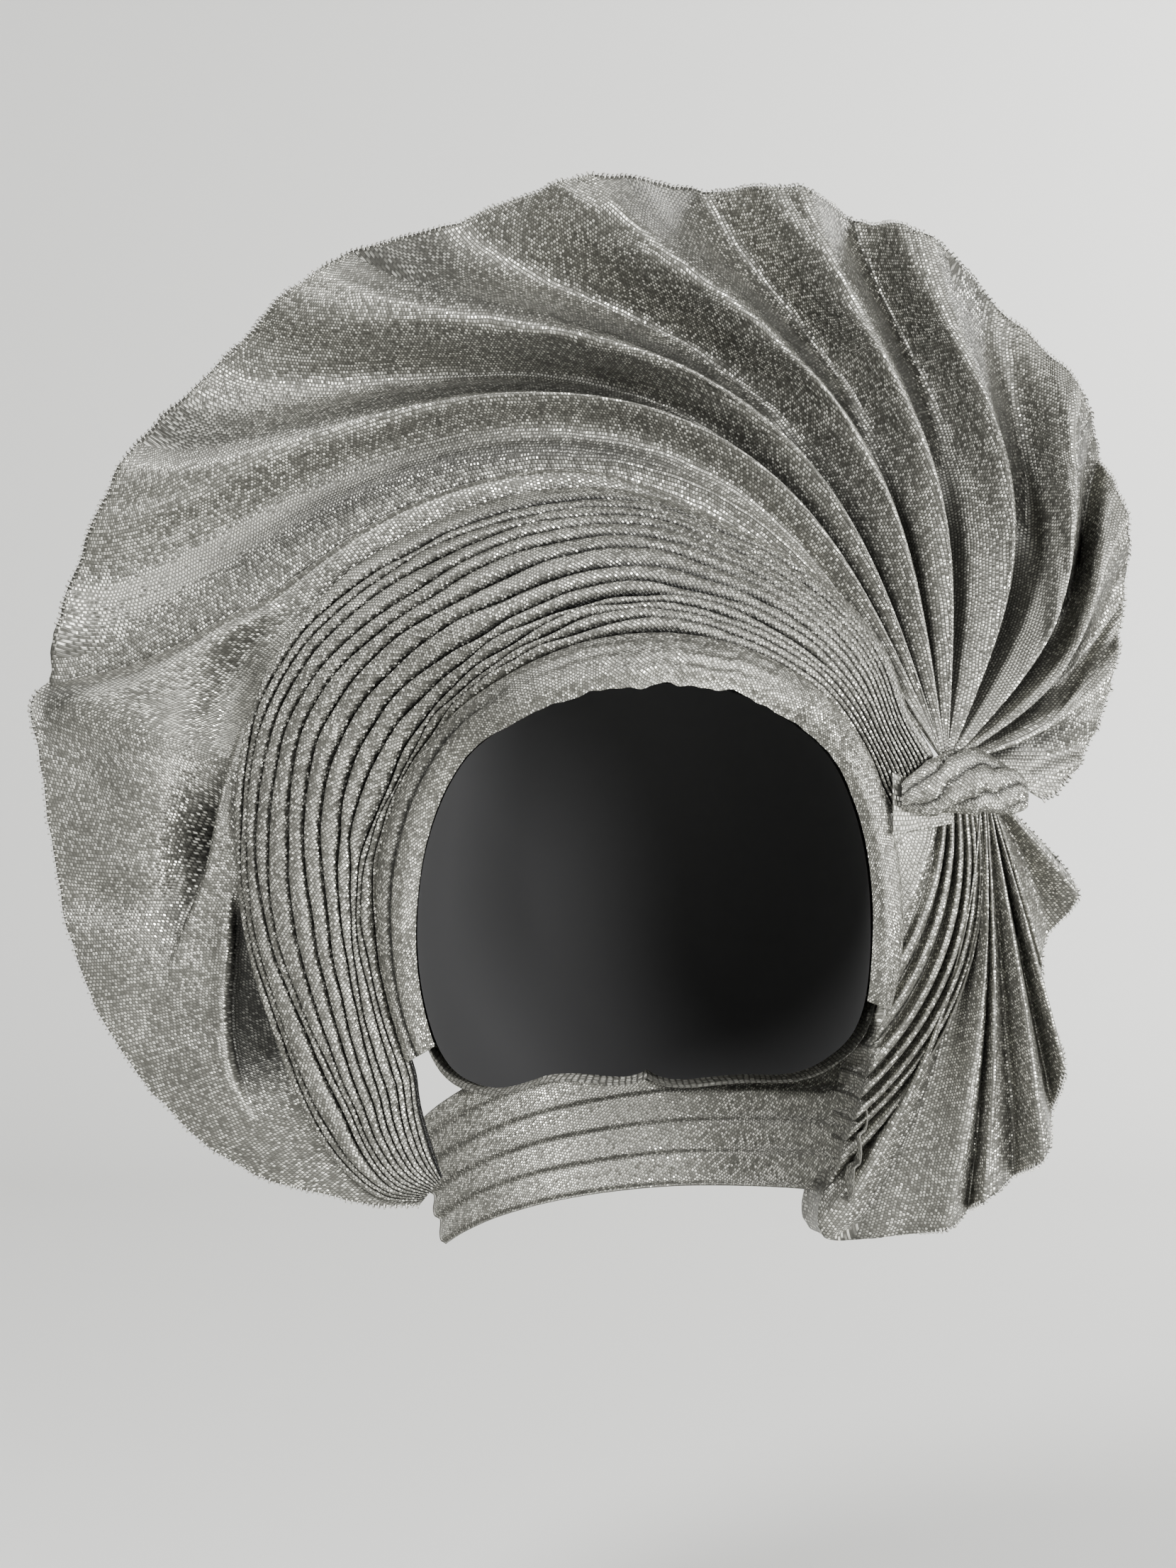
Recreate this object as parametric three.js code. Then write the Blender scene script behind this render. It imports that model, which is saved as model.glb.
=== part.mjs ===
import * as THREE from "three";

// Tied head tie of stiff metallic cloth, in millimetres. The wearer looks along -Y, and +Z is up.
// The origin is the middle of the head hollow, at brow height.
// A "turn" is an angle about the Y axis, seen from the front, counted from +X towards +Z.

// Head hollow: half sizes of the cap's outer face.
const HEAD_RIGHT = 73.5;
const HEAD_LEFT = 79;
const HEAD_DEPTH = 97;
const HEAD_RISE = 104;

// Walls and the clearance between seated pieces.
const CAP_WALL = 1.6;
const CLOTH_WALL = 1.4;
const EDGE_WALL = 1;
const SEAT_GAP = 0.35;
const FACET_GAP = 2.1;

// Black edge: how far it shows before the cap, and how far it runs inside.
const EDGE_SHOWS = 2.2;
const EDGE_TUCK = 9;

// Ruched band: its body, and the turns at which it starts and ends.
const BAND_BODY = 2.6;
const BAND_RUCHE = 0.9;
const BAND_FROM = -20;
const BAND_TO = 210;

// Front pleats: the turns that they span, and their greatest height.
const PLEATS_FROM = 31;
const PLEATS_TO = 231;
const PLEAT_HEIGHT = 2.7;
const WING_RIDGE = 3.2;

// Fan: where its folds start, and how far from there the cloth opens.
const FAN_ROOT = new THREE.Vector3(91.8, -24.6, 50);
const FAN_START = 7;

// Side tail: where its pleats start.
const TAIL_ROOT = new THREE.Vector3(100.5, -16.5, 36);
const TAIL_START = 0.06;

// Nape wrap: number and height of its pleats.
const NAPE_PLEATS = 5;
const NAPE_HEIGHT = 1.6;

// Depth of the cap's edge at each turn. It runs over the forehead and below the ears to the nape.
const CAP_EDGE = [
  { turn: -90, y: 80 },
  { turn: -60, y: 66 },
  { turn: -40, y: 30 },
  { turn: -25, y: -4 },
  { turn: -12, y: -18 },
  { turn: 0, y: -22 },
  { turn: 20, y: -23 },
  { turn: 40, y: -31 },
  { turn: 60, y: -52 },
  { turn: 90, y: -65 },
  { turn: 120, y: -55 },
  { turn: 140, y: -34 },
  { turn: 160, y: -22 },
  { turn: 180, y: -15 },
  { turn: 205, y: 0 },
  { turn: 215, y: 10 },
  { turn: 226, y: 36 },
  { turn: 240, y: 68 },
  { turn: 270, y: 80 },
];

// Outer edge of the ruched band, which is the inner edge of the pleats: radius and depth.
const BAND_EDGE = [
  { turn: -22, radius: 79, y: -5 },
  { turn: 0, radius: 77.5, y: -19 },
  { turn: 15, radius: 78.8, y: -20 },
  { turn: 31, radius: 82.7, y: -24 },
  { turn: 40, radius: 85.3, y: -28 },
  { turn: 60, radius: 87.8, y: -47 },
  { turn: 90, radius: 88.7, y: -57 },
  { turn: 120, radius: 88.5, y: -46 },
  { turn: 139, radius: 89.6, y: -29 },
  { turn: 165, radius: 88.4, y: -15 },
  { turn: 180, radius: 86.7, y: -10 },
  { turn: 196, radius: 87.3, y: -2 },
  { turn: 212, radius: 91.5, y: 6 },
  { turn: 219, radius: 97.6, y: 9 },
  { turn: 231, radius: 108.9, y: 13 },
];

// Stack: outer edge of the pleat stack. Wing: outer edge of the widest pleat, which opens into the
// left side of the fan and ends in the selvage there.
const SECTIONS = [
  { turn: 31, stack: 100.2, stackY: -25.2, wing: 102.5, wingY: -23 },
  { turn: 40, stack: 102, stackY: -26, wing: 104.3, wingY: -23 },
  { turn: 50, stack: 110.1, stackY: -24, wing: 113.1, wingY: -20 },
  { turn: 60, stack: 116.2, stackY: -20, wing: 119.5, wingY: -15 },
  { turn: 80, stack: 126.4, stackY: -12.7, wing: 130.1, wingY: -7.3 },
  { turn: 90, stack: 134, stackY: -10, wing: 139.1, wingY: -4 },
  { turn: 100, stack: 138.8, stackY: -7.3, wing: 147.7, wingY: -0.7 },
  { turn: 120, stack: 144.9, stackY: -3, wing: 155.5, wingY: 4 },
  { turn: 139, stack: 148.2, stackY: 0.8, wing: 162.4, wingY: 9.2 },
  { turn: 145, stack: 148.7, stackY: 2, wing: 172.5, wingY: 11 },
  { turn: 150, stack: 149, stackY: 2.7, wing: 181.4, wingY: 13.1 },
  { turn: 154, stack: 144.9, stackY: 3.3, wing: 192.9, wingY: 15.1 },
  { turn: 159.5, stack: 140.3, stackY: 4.1, wing: 215.6, wingY: 18.3 },
  { turn: 165, stack: 138, stackY: 5.1, wing: 208, wingY: 21.3 },
  { turn: 172, stack: 135.2, stackY: 6.4, wing: 199.8, wingY: 24.6 },
  { turn: 180, stack: 132.3, stackY: 8, wing: 193.8, wingY: 27 },
  { turn: 196, stack: 127.9, stackY: 11.2, wing: 178.7, wingY: 29 },
  { turn: 212, stack: 129.5, stackY: 14.5, wing: 157.5, wingY: 26 },
  { turn: 219, stack: 129.7, stackY: 16.1, wing: 142.9, wingY: 22.5 },
  { turn: 226, stack: 126.9, stackY: 17, wing: 130.6, wingY: 19 },
  { turn: 231, stack: 118.6, stackY: 15, wing: 121.1, wingY: 16 },
];

// Folded edges of the stack, as shares of the way from the band to the stack's outer edge.
const PLEAT_SHARES = [0, 0.06, 0.13, 0.21, 0.3, 0.4, 0.51, 0.62, 0.73, 0.86, 1];

// Hollows (negative) and swells (positive) of the wing.
const WING_SWELLS = [
  { turn: 170, radius: 149, turnWide: 8, radiusWide: 13, height: -11 },
  { turn: 172, radius: 174, turnWide: 11, radiusWide: 12, height: 5 },
  { turn: 190, radius: 134, turnWide: 9, radiusWide: 6, height: -6 },
  { turn: 150, radius: 158, turnWide: 6, radiusWide: 7, height: -5 },
  { turn: 201, radius: 150, turnWide: 7, radiusWide: 12, height: 4 },
];

// Folds of the fan, from under the wing to the flap beside the knot: the directions in which each
// leaves the root and reaches the selvage, its length, the selvage's depth and the fold's height.
const FAN_FOLDS = [
  { fold: -1, leave: 127, arrive: 181, reach: 268, edgeY: 22, height: 0 },
  { fold: 0, leave: 121, arrive: 174.5, reach: 291, edgeY: 22, height: 0 },
  { fold: 1, leave: 114, arrive: 160.2, reach: 283.2, edgeY: 21, height: 6 },
  { fold: 2, leave: 109, arrive: 141.4, reach: 256.9, edgeY: 18, height: 10 },
  { fold: 3, leave: 99, arrive: 120.5, reach: 220.6, edgeY: 14, height: 11 },
  { fold: 4, leave: 89, arrive: 103.5, reach: 190.7, edgeY: 10, height: 12 },
  { fold: 5, leave: 71, arrive: 91.5, reach: 170.2, edgeY: 6, height: 13 },
  { fold: 6, leave: 50, arrive: 69.7, reach: 128.1, edgeY: 0, height: 11 },
  { fold: 7, leave: 36, arrive: 53.6, reach: 99.2, edgeY: -4, height: 8 },
  { fold: 8, leave: 20, arrive: 25.4, reach: 58.9, edgeY: -10, height: 4 },
  { fold: 9, leave: 2, arrive: -14.8, reach: 29.6, edgeY: -15, height: 1 },
];

// Folds of the side tail, from the face to the top of the flare: where each one ends, its height,
// how far it bows out on the way, and how far its end runs on behind the cheek.
const TAIL_FOLDS = [
  { fold: 0, x: 78.5, y: -21, z: 27, height: 0, bow: 0, tuck: 0 },
  { fold: 1, x: 79.5, y: -16, z: 3, height: 0.5, bow: 2, tuck: 0 },
  { fold: 2, x: 78.5, y: -11, z: -16, height: 1.5, bow: 6, tuck: 4 },
  { fold: 3, x: 76.5, y: -5, z: -31, height: 2, bow: 9, tuck: 18 },
  { fold: 4, x: 74, y: 2, z: -45, height: 2, bow: 10, tuck: 30 },
  { fold: 5, x: 71.5, y: 8, z: -56.5, height: 2, bow: 10, tuck: 34 },
  { fold: 6, x: 68.5, y: 13, z: -67.5, height: 2, bow: 10, tuck: 34 },
  { fold: 7, x: 66, y: 18, z: -76.5, height: 2, bow: 10, tuck: 32 },
  { fold: 8, x: 63.5, y: 22, z: -84.5, height: 2.5, bow: 10, tuck: 28 },
  { fold: 9, x: 60, y: 28, z: -107, height: 3, bow: 8, tuck: 18 },
  { fold: 10, x: 96, y: 22, z: -103, height: 6, bow: 3, tuck: 0 },
  { fold: 11, x: 111, y: 18, z: -94, height: 6, bow: 2, tuck: 0 },
  { fold: 12, x: 128, y: 12, z: -77, height: 6, bow: 1, tuck: 0 },
  { fold: 13, x: 134, y: 8, z: -47.5, height: 5, bow: 0, tuck: 0 },
  { fold: 14, x: 136, y: 4, z: -14, height: 4, bow: 0, tuck: 0 },
  { fold: 15, x: 137, y: 0, z: 11, height: 3, bow: 0, tuck: 0 },
  { fold: 16, x: 111, y: -7, z: 37.5, height: 0, bow: 0, tuck: 0 },
];

// Nape wrap, from behind the right ear round the back to the left end of the pleats: the height of
// its two edges, and how far it stands off the cap. Its turn is about the Z axis, from +X to +Y.
const NAPE_SECTIONS = [
  { turn: 26, top: -38, bottom: -92, off: 9 },
  { turn: 55, top: -40, bottom: -94, off: 4 },
  { turn: 90, top: -44, bottom: -96, off: 0 },
  { turn: 125, top: -52, bottom: -100, off: 5 },
  { turn: 165, top: -66, bottom: -106, off: 12 },
];

const DEGREE = Math.PI / 180;

function mix(a, b, t) {
  return a + (b - a) * t;
}

function ease(t) {
  const s = Math.min(Math.max(t, 0), 1);
  return s * s * (3 - 2 * s);
}

function bell(t) {
  return Math.exp(-t * t);
}

// Value of a table's column, on a smooth curve through its rows.
function column(table, key, name, at) {
  const last = table.length - 1;
  if (at <= table[0][key]) {
    return table[0][name];
  }
  if (at >= table[last][key]) {
    return table[last][name];
  }
  let row = 0;
  while (table[row + 1][key] < at) {
    row += 1;
  }
  const slope = (k) => {
    const a = table[Math.max(k - 1, 0)];
    const b = table[Math.min(k + 1, last)];
    return (b[name] - a[name]) / (b[key] - a[key]);
  };
  const from = table[row];
  const to = table[row + 1];
  const span = to[key] - from[key];
  const t = (at - from[key]) / span;
  const bend = t * t * (3 - 2 * t);
  return (
    mix(from[name], to[name], bend) +
    span * t * (1 - t) * ((1 - t) * slope(row) - t * slope(row + 1))
  );
}

// Closed mesh from corners and faces, turned so that it faces out.
function solidMesh(name, points, faces, material) {
  let volume = 0;
  for (const [a, b, c] of faces) {
    volume += points[a].dot(points[b].clone().cross(points[c]));
  }
  const geometry = new THREE.BufferGeometry();
  const corners = points.flatMap((p) => [p.x, p.y, p.z]);
  geometry.setAttribute("position", new THREE.Float32BufferAttribute(corners, 3));
  geometry.setIndex(faces.flatMap(([a, b, c]) => (volume > 0 ? [a, b, c] : [a, c, b])));
  geometry.computeVertexNormals();
  const mesh = new THREE.Mesh(geometry, material);
  mesh.name = name;
  return mesh;
}

// Wall of even thickness behind a grid of points; facing is the side on which the grid is seen.
function clothWall(name, grid, wall, facing, material) {
  const rows = grid.length;
  const across = grid[0].length;
  const at = (i, j) => i * across + j;
  const outer = grid.flat();
  const faces = [];
  for (let i = 0; i + 1 < rows; i += 1) {
    for (let j = 0; j + 1 < across; j += 1) {
      faces.push([at(i, j), at(i, j + 1), at(i + 1, j + 1)]);
      faces.push([at(i, j), at(i + 1, j + 1), at(i + 1, j)]);
    }
  }
  const faceNormals = faces.map(([a, b, c]) => {
    const u = outer[b].clone().sub(outer[a]);
    const v = outer[c].clone().sub(outer[a]);
    return u.cross(v);
  });
  const normals = outer.map(() => new THREE.Vector3());
  faces.forEach((face, k) => face.forEach((corner) => normals[corner].add(faceNormals[k])));
  const middle = at(Math.floor(rows / 2), Math.floor(across / 2));
  const side = normals[middle].dot(facing) > 0 ? 1 : -1;
  const lean = outer.map(() => [0, 0]);
  normals.forEach((n) => n.normalize());
  faces.forEach((face, k) => {
    const n = faceNormals[k].clone().normalize();
    face.forEach((corner) => {
      lean[corner][0] += n.dot(normals[corner]);
      lean[corner][1] += 1;
    });
  });
  const inner = outer.map((p, k) => {
    const spread = Math.max(lean[k][0] / lean[k][1], 0.72);
    return p.clone().addScaledVector(normals[k], (-side * wall) / spread);
  });
  const count = outer.length;
  const all = faces.map((f) => f.slice());
  faces.forEach(([a, b, c]) => all.push([a + count, c + count, b + count]));
  const hem = (a, b) => {
    all.push([b, a, a + count]);
    all.push([b, a + count, b + count]);
  };
  for (let j = 0; j + 1 < across; j += 1) {
    hem(at(0, j), at(0, j + 1));
    hem(at(rows - 1, j + 1), at(rows - 1, j));
  }
  for (let i = 0; i + 1 < rows; i += 1) {
    hem(at(i + 1, 0), at(i, 0));
    hem(at(i, across - 1), at(i + 1, across - 1));
  }
  return solidMesh(name, outer.concat(inner), all, material);
}

// Body with a closed outline at each station, closed at both ends.
function loopBody(name, loops, material) {
  const ring = loops[0].length;
  const points = loops.flat();
  const faces = [];
  for (let i = 0; i + 1 < loops.length; i += 1) {
    for (let j = 0; j < ring; j += 1) {
      const a = i * ring + j;
      const b = i * ring + ((j + 1) % ring);
      faces.push([a, b, b + ring]);
      faces.push([a, b + ring, a + ring]);
    }
  }
  const end = (loops.length - 1) * ring;
  for (let j = 1; j + 1 < ring; j += 1) {
    faces.push([0, j + 1, j]);
    faces.push([end, end + j, end + j + 1]);
  }
  return solidMesh(name, points, faces, material);
}

// Point of the meridian plane at a turn about the Y axis.
function atTurn(turn, radius, y) {
  return new THREE.Vector3(radius * Math.cos(turn * DEGREE), y, radius * Math.sin(turn * DEGREE));
}

// Half size of the head shape at a turn, grown by an even amount.
function headReach(turn, grow) {
  const c = Math.cos(turn * DEGREE);
  const s = Math.sin(turn * DEGREE);
  const side = (c > 0 ? HEAD_RIGHT : HEAD_LEFT) + grow;
  return 1 / Math.hypot(c / side, s / (HEAD_RISE + grow));
}

// Point of the head shape: along runs from 0 at the face to PI at the back.
function headPoint(turn, along, grow) {
  const radius = headReach(turn, grow) * Math.sin(along);
  return atTurn(turn, radius, -(HEAD_DEPTH + grow) * Math.cos(along));
}

function edgeAlong(turn) {
  return Math.acos(-column(CAP_EDGE, "turn", "y", turn) / HEAD_DEPTH);
}

function rimRadius(turn) {
  return headReach(turn, 0) * Math.sin(edgeAlong(turn));
}

const silver = (name, color) => {
  const material = new THREE.MeshStandardMaterial({ color, roughness: 0.42, metalness: 0.55 });
  material.name = name;
  return material;
};
const blackStretch = new THREE.MeshStandardMaterial({ color: 0x0c0c0d, roughness: 0.85 });
blackStretch.name = "black_stretch";

// Cap: a dome from the edge to a pole at the back, hollow for the head.
function buildCap() {
  const turns = 36;
  const rings = 7;
  const points = [];
  const faces = [];
  const layers = [0, -CAP_WALL];
  for (const grow of layers) {
    for (let i = 0; i < rings; i += 1) {
      for (let j = 0; j < turns; j += 1) {
        const turn = -90 + (360 * j) / turns;
        const along = mix(edgeAlong(turn), Math.PI, i / rings);
        points.push(headPoint(turn, along, grow));
      }
    }
    points.push(headPoint(0, Math.PI, grow));
  }
  const layer = rings * turns + 1;
  for (let i = 0; i < rings; i += 1) {
    for (let j = 0; j < turns; j += 1) {
      const next = (j + 1) % turns;
      const a = i * turns + j;
      const b = i * turns + next;
      if (i + 1 < rings) {
        const c = a + turns;
        const d = b + turns;
        faces.push([a, b, d], [a, d, c]);
        faces.push([a + layer, d + layer, b + layer], [a + layer, c + layer, d + layer]);
      } else {
        const pole = rings * turns;
        faces.push([a, b, pole], [a + layer, pole + layer, b + layer]);
      }
      if (i === 0) {
        faces.push([b, a, a + layer], [b, a + layer, b + layer]);
      }
    }
  }
  return solidMesh("crown_cap", points, faces, silver("cap_cloth", 0x8f8f8a));
}

// Black edge: a thin strip inside the cap that stands out before its front edge.
function buildCapEdge() {
  const stations = 34;
  const loops = [];
  for (let i = 0; i < stations; i += 1) {
    const turn = mix(BAND_FROM, BAND_TO, i / (stations - 1));
    const step = 1 / HEAD_DEPTH;
    const along = edgeAlong(turn);
    const outside = -CAP_WALL - FACET_GAP;
    const inside = outside - EDGE_WALL;
    loops.push([
      headPoint(turn, along - EDGE_SHOWS * step, outside),
      headPoint(turn, along + EDGE_TUCK * step, outside),
      headPoint(turn, along + EDGE_TUCK * step, inside),
      headPoint(turn, along - EDGE_SHOWS * step, inside),
    ]);
  }
  return loopBody("cap_edge", loops, blackStretch);
}

// Ruched band: a soft roll before the cap's front edge, gathered into small uneven puckers.
function buildFaceBand() {
  const stations = 58;
  const loops = [];
  for (let i = 0; i < stations; i += 1) {
    const turn = mix(BAND_FROM, BAND_TO, i / (stations - 1));
    const y0 = column(CAP_EDGE, "turn", "y", turn) - FACET_GAP;
    const y1 = column(BAND_EDGE, "turn", "y", turn) - SEAT_GAP;
    const r0 = rimRadius(turn) - 1;
    const r1 = column(BAND_EDGE, "turn", "radius", turn) - 0.7;
    const length = Math.hypot(r1 - r0, y1 - y0);
    const outR = (y1 - y0) / length;
    const outY = -(r1 - r0) / length;
    const pucker = 1 + (i % 2 === 0 ? 0.28 : -0.18) + 0.12 * Math.sin(i * 1.7);
    const lift = (share, height) => {
      const r = mix(r0, r1, share) + outR * height;
      return atTurn(turn, r, mix(y0, y1, share) + outY * height);
    };
    const body = BAND_BODY + BAND_RUCHE * pucker;
    loops.push([
      lift(0, 0),
      lift(1, 0),
      lift(1, 1.1),
      lift(0.72, body),
      lift(0.3, body),
      lift(0, 1.2),
    ]);
  }
  return loopBody("face_band", loops, silver("band_cloth", 0xa8a8a2));
}

// Front pleats and wing: knife pleats whose folded edges face outwards, then the open wing.
function buildFrontPleats() {
  const stations = 30;
  const grid = [];
  for (let i = 0; i < stations; i += 1) {
    const turn = mix(PLEATS_FROM, PLEATS_TO, i / (stations - 1));
    const r0 = column(BAND_EDGE, "turn", "radius", turn);
    const y0 = column(BAND_EDGE, "turn", "y", turn);
    const r1 = column(SECTIONS, "turn", "stack", turn);
    const y1 = column(SECTIONS, "turn", "stackY", turn);
    const r2 = column(SECTIONS, "turn", "wing", turn);
    const y2 = column(SECTIONS, "turn", "wingY", turn);
    const length = Math.hypot(r1 - r0, y1 - y0);
    const outR = (y1 - y0) / length;
    const outY = -(r1 - r0) / length;
    const row = [];
    const lift = (share, height) => {
      const swell = 0.08 * length * Math.sin(Math.PI * share);
      const h = height + swell;
      row.push(atTurn(turn, mix(r0, r1, share) + outR * h, mix(y0, y1, share) + outY * h));
    };
    for (let k = 0; k + 1 < PLEAT_SHARES.length; k += 1) {
      const from = PLEAT_SHARES[k];
      const wide = PLEAT_SHARES[k + 1] - from;
      const width = wide * length;
      const height = Math.min(PLEAT_HEIGHT, 0.5 * Math.max(width - 1.6, 0.15));
      lift(from, 0);
      lift(from + 0.5 * wide, 0.7 * height);
      lift(from + 0.86 * wide, height);
    }
    const open = r2 - r1;
    const ridge = Math.min(WING_RIDGE, 0.3 * open);
    const furl = 1 - ease((turn - 150) / 20);
    for (const share of [0, 0.14, 0.34, 0.56, 0.78, 0.93, 1]) {
      const r = mix(r1, r2, share);
      let rise = ridge * ease(share / 0.8) * mix(0.5, 1, furl);
      rise -= ridge * 0.6 * furl * ease((share - 0.9) / 0.1);
      for (const swell of WING_SWELLS) {
        const side = (turn - swell.turn) / swell.turnWide;
        const far = (r - swell.radius) / swell.radiusWide;
        rise += swell.height * bell(side) * bell(far);
      }
      row.push(atTurn(turn, r, mix(y1, y2, share) - rise));
    }
    grid.push(row);
  }
  const facing = new THREE.Vector3(0, -1, 0);
  return clothWall("front_pleats", grid, CLOTH_WALL, facing, silver("pleat_cloth", 0x9c9c96));
}

// Point of the fan's mean surface: fold counts across the folds, and along runs to the selvage.
function fanPoint(fold, along) {
  const leave = column(FAN_FOLDS, "fold", "leave", fold);
  const arrive = column(FAN_FOLDS, "fold", "arrive", fold);
  const reach = column(FAN_FOLDS, "fold", "reach", fold);
  const edgeY = column(FAN_FOLDS, "fold", "edgeY", fold);
  const angle = mix(leave, arrive, ease(along ** 1.4)) * DEGREE;
  const far = mix(FAN_START, reach, along);
  return new THREE.Vector3(
    FAN_ROOT.x + far * Math.cos(angle),
    mix(FAN_ROOT.y, edgeY, (far / reach) ** 0.95),
    FAN_ROOT.z + far * Math.sin(angle),
  );
}

// Height of a fold at a share of the way from one folded edge to the next: it drops just past the
// edge and climbs slowly to the next one, and opens into a soft wave at the selvage.
function foldShape(share, along) {
  const knife = share < 0.14 ? 1 - 2 * ease(share / 0.14) : -1 + 2 * ease((share - 0.14) / 0.86);
  const wave = Math.cos(2 * Math.PI * share);
  return mix(knife, wave, ease((along - 0.35) / 0.65));
}

function buildFan() {
  const steps = 13;
  const shares = [0, 0.14, 0.34, 0.6, 0.84];
  const folds = [];
  for (let fold = -1; fold < 9; fold += 1) {
    const from = fold < 0 ? [0, 0.5] : shares;
    from.forEach((share) => folds.push(fold + share));
  }
  folds.push(9);
  const grid = [];
  for (let i = 0; i < steps; i += 1) {
    const along = (i / (steps - 1)) ** 1.25;
    const row = [];
    for (const fold of folds) {
      const whole = Math.min(Math.floor(fold), 8);
      const share = fold - whole;
      const p = fanPoint(fold, along);
      const gap = fanPoint(whole + 1, along).distanceTo(fanPoint(whole, along));
      const open = 0.5 * Math.max(gap - 5, 0) * 0.6;
      const height = column(FAN_FOLDS, "fold", "height", fold);
      const calm = 1 - 0.5 * ease((along - 0.45) / 0.55);
      p.y -= Math.min(height * calm, open) * foldShape(share, along);
      row.push(p);
    }
    grid.push(row);
  }
  const facing = new THREE.Vector3(0, -1, 0);
  return clothWall("fan", grid, CLOTH_WALL, facing, silver("fan_cloth", 0xb4b4ae));
}

// Knot: a twisted roll that lies across the gathered folds at the temple.
function buildKnot() {
  const stations = 11;
  const ring = 10;
  const loops = [];
  for (let i = 0; i < stations; i += 1) {
    const t = i / (stations - 1);
    const arch = Math.sin(Math.PI * t);
    const centre = new THREE.Vector3(mix(78, 110, t), mix(-28.8, -24.8, t), 40 + 6 * arch);
    const size = 2.2 + 7 * arch ** 0.8;
    const loop = [];
    for (let j = 0; j < ring; j += 1) {
      const a = (2 * Math.PI * j) / ring;
      const lobe = 1 + 0.13 * Math.cos(3 * a + 4.5 * t);
      const r = size * lobe;
      const back = Math.min(0.6 * r * Math.cos(a), 2.4);
      loop.push(new THREE.Vector3(centre.x, centre.y + back, centre.z + r * Math.sin(a)));
    }
    loops.push(loop);
  }
  return loopBody("knot", loops, silver("knot_cloth", 0xb0b0aa));
}

// Tie strip: pulled from under the face band to the knot, with a fold along each edge.
function buildTieStrip() {
  const grid = [];
  for (let i = 0; i < 9; i += 1) {
    const t = i / 8;
    const x = mix(74.6, 93.5, t);
    const top = mix(42, 35, t);
    const bottom = mix(28.5, 31, t);
    const row = [];
    for (let j = 0; j < 6; j += 1) {
      const s = j / 5;
      const fold = 0.7 * Math.sin(3 * Math.PI * s) * (1 - 0.6 * t);
      row.push(new THREE.Vector3(x, mix(-26.5, -23, t) - fold, mix(top, bottom, s)));
    }
    grid.push(row);
  }
  const facing = new THREE.Vector3(0, -1, 0);
  return clothWall("tie_strip", grid, CLOTH_WALL, facing, silver("strip_cloth", 0xa6a6a0));
}

// Point of the side tail's mean surface.
function tailPoint(fold, along) {
  const end = new THREE.Vector3();
  for (const axis of ["x", "y", "z"]) {
    end[axis] = column(TAIL_FOLDS, "fold", axis, fold);
  }
  const bow = column(TAIL_FOLDS, "fold", "bow", fold);
  const tuck = column(TAIL_FOLDS, "fold", "tuck", fold);
  const bend = 1 - tuck / 110;
  const t = Math.min(along / bend, 1);
  const control = TAIL_ROOT.clone().lerp(end, 0.5);
  control.x += 0.8 * bow;
  control.z -= 0.6 * bow;
  control.y -= 2;
  const p = TAIL_ROOT.clone().multiplyScalar((1 - t) ** 2);
  p.addScaledVector(control, 2 * t * (1 - t));
  p.addScaledVector(end, t * t);
  const past = tuck > 0 ? Math.max(along - bend, 0) / (1 - bend) : 0;
  p.y += tuck * past;
  p.x -= 0.16 * tuck * past * past;
  return p;
}

function buildSideTail() {
  const steps = 9;
  const shares = [0, 0.3, 0.68];
  const folds = [];
  for (let fold = 0; fold < 16; fold += 1) {
    shares.forEach((share) => folds.push(fold + share));
  }
  folds.push(16);
  const grid = [];
  for (let i = 0; i < steps; i += 1) {
    const along = mix(TAIL_START, 1, i / (steps - 1));
    const row = [];
    for (const fold of folds) {
      const whole = Math.min(Math.floor(fold), 15);
      const share = fold - whole;
      const p = tailPoint(fold, along);
      const gap = tailPoint(whole + 1, along).distanceTo(tailPoint(whole, along));
      const height = column(TAIL_FOLDS, "fold", "height", fold);
      const tall = Math.min(height, 0.32 * Math.max(gap - 3.2, 0)) * Math.cos(2 * Math.PI * share);
      const behind = ease((along - 0.7) / 0.3) * ease(column(TAIL_FOLDS, "fold", "tuck", fold) / 20);
      p.y -= tall * (1 - behind);
      p.x += tall * behind;
      row.push(p);
    }
    grid.push(row);
  }
  const facing = new THREE.Vector3(0, -1, 0);
  return clothWall("side_tail", grid, CLOTH_WALL, facing, silver("tail_cloth", 0x94948e));
}

// Nape wrap: a pleated band that follows the cap's lower edge and draws in below it.
function buildNapeWrap() {
  const stations = 17;
  const grid = [];
  for (let i = 0; i < stations; i += 1) {
    const turn = mix(26, 165, i / (stations - 1));
    const top = column(NAPE_SECTIONS, "turn", "top", turn);
    const bottom = column(NAPE_SECTIONS, "turn", "bottom", turn);
    const off = column(NAPE_SECTIONS, "turn", "off", turn) + SEAT_GAP + CLOTH_WALL + 0.3;
    const row = [];
    for (let k = 0; k <= 2 * NAPE_PLEATS; k += 1) {
      const z = mix(top, bottom, k / (2 * NAPE_PLEATS));
      const shown = Math.max(z, -60 + 0.35 * (z + 60));
      const narrow = Math.sqrt(1 - (shown / HEAD_RISE) ** 2);
      const grow = off + (k % 2 === 0 ? 0 : NAPE_HEIGHT);
      const c = Math.cos(turn * DEGREE);
      const side = c > 0 ? HEAD_RIGHT : HEAD_LEFT;
      const x = (side * narrow + grow) * c;
      const y = (HEAD_DEPTH * narrow + grow) * Math.sin(turn * DEGREE);
      row.push(new THREE.Vector3(x, y, z));
    }
    grid.push(row);
  }
  const facing = new THREE.Vector3(0, 1, 0);
  return clothWall("nape_wrap", grid, CLOTH_WALL, facing, silver("nape_cloth", 0x90908b));
}

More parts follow.
